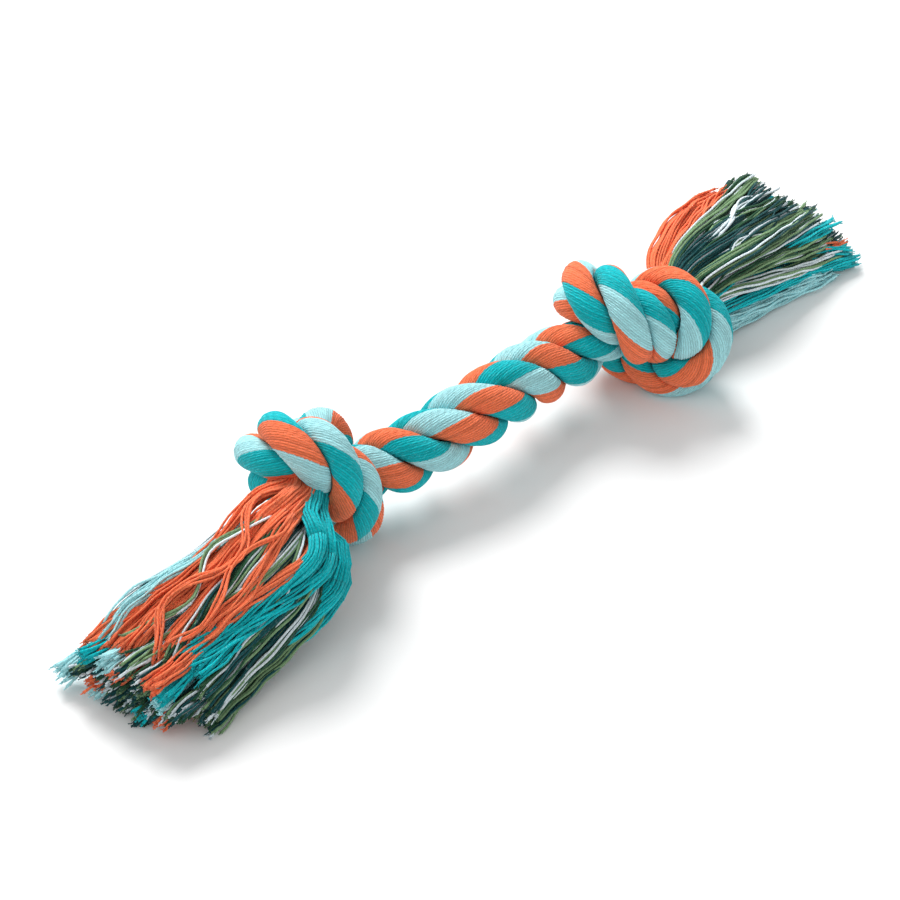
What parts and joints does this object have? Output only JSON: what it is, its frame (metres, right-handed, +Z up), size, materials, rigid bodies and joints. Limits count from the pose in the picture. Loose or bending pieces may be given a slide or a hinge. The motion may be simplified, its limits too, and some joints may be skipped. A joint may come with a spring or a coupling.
{
  "type": "rope dog toy",
  "caption": "Knotted cotton rope toy for a dog: laid strands of orange, teal and pale yarn, an overhand knot near each end and a frayed tassel beyond each knot.",
  "frame": {"origin": "under the middle of the toy, on the surface that it lies on", "axes": "+X along the rope from the nearer tassel in the picture to the farther one, +Z up"},
  "size_m": [0.4056, 0.0988, 0.0657],
  "materials": {
    "orange_yarn": "matt twisted cotton yarn",
    "teal_yarn": "matt twisted cotton yarn",
    "pale_yarn": "matt twisted cotton yarn",
    "core_yarn": "matt twisted cotton yarn, mixed colours"
  },
  "bodies": {
    "bar": {"bar_strand_a": "orange_yarn", "bar_strand_b": "teal_yarn", "bar_strand_c": "pale_yarn"},
    "left_bar": {"left_bar_strand_a": "orange_yarn", "left_bar_strand_b": "teal_yarn", "left_bar_strand_c": "pale_yarn"},
    "left_knot": {"left_knot_strand_a": "orange_yarn", "left_knot_strand_b": "teal_yarn", "left_knot_strand_c": "pale_yarn"},
    "left_throat": {"left_throat_strand_a": "orange_yarn", "left_throat_strand_b": "teal_yarn", "left_throat_strand_c": "pale_yarn"},
    "right_bar": {"right_bar_strand_a": "orange_yarn", "right_bar_strand_b": "teal_yarn", "right_bar_strand_c": "pale_yarn"},
    "right_knot": {"right_knot_strand_a": "orange_yarn", "right_knot_strand_b": "teal_yarn", "right_knot_strand_c": "pale_yarn"},
    "right_throat": {"right_throat_strand_a": "orange_yarn", "right_throat_strand_b": "teal_yarn", "right_throat_strand_c": "pale_yarn"},
    "left_tassel": {"left_tassel_orange_a": "orange_yarn", "left_tassel_teal_a": "teal_yarn", "left_tassel_pale_a": "pale_yarn", "left_tassel_core_a": "core_yarn", "left_tassel_orange_b": "orange_yarn", "left_tassel_teal_b": "teal_yarn", "left_tassel_pale_b": "pale_yarn", "left_tassel_core_b": "core_yarn", "left_tassel_orange_c": "orange_yarn", "left_tassel_teal_c": "teal_yarn", "left_tassel_pale_c": "pale_yarn", "left_tassel_core_c": "core_yarn"},
    "right_tassel": {"right_tassel_orange_a": "orange_yarn", "right_tassel_teal_a": "teal_yarn", "right_tassel_pale_a": "pale_yarn", "right_tassel_core_a": "core_yarn", "right_tassel_orange_b": "orange_yarn", "right_tassel_teal_b": "teal_yarn", "right_tassel_pale_b": "pale_yarn", "right_tassel_core_b": "core_yarn", "right_tassel_orange_c": "orange_yarn", "right_tassel_teal_c": "teal_yarn", "right_tassel_pale_c": "pale_yarn", "right_tassel_core_c": "core_yarn"}
  },
  "joints": [
    {"name": "left_bend", "type": "hinge", "parent": "bar", "child": "left_bar", "pos_m": [-0.02194, 0.00072, 0.02768], "axis": [0, 0, 1], "range_deg": [-25, 25]},
    {"name": "left_neck", "type": "hinge", "parent": "left_bar", "child": "left_knot", "pos_m": [-0.04394, 0.00417, 0.0248], "axis": [0, 1, 0], "range_deg": [-25, 25]},
    {"name": "left_throat", "type": "hinge", "parent": "left_knot", "child": "left_throat", "pos_m": [-0.11694, 0.00138, 0.03647], "axis": [0, 0, 1], "range_deg": [-40, 40]},
    {"name": "left_tassel", "type": "hinge", "parent": "left_throat", "child": "left_tassel", "pos_m": [-0.11694, 0.00138, 0.03647], "axis": [0, 1, 0], "range_deg": [-30, 30]},
    {"name": "right_bend", "type": "hinge", "parent": "bar", "child": "right_bar", "pos_m": [0.01806, 0.00043, 0.02825], "axis": [0, 0, 1], "range_deg": [-25, 25]},
    {"name": "right_neck", "type": "hinge", "parent": "right_bar", "child": "right_knot", "pos_m": [0.04006, 0.00066, 0.02638], "axis": [0, 1, 0], "range_deg": [-25, 25]},
    {"name": "right_throat", "type": "hinge", "parent": "right_knot", "child": "right_throat", "pos_m": [0.11306, -0.00902, 0.01775], "axis": [0, 0, 1], "range_deg": [-40, 40]},
    {"name": "right_tassel", "type": "hinge", "parent": "right_throat", "child": "right_tassel", "pos_m": [0.11306, -0.00902, 0.01775], "axis": [0, 1, 0], "range_deg": [-30, 30]}
  ]
}
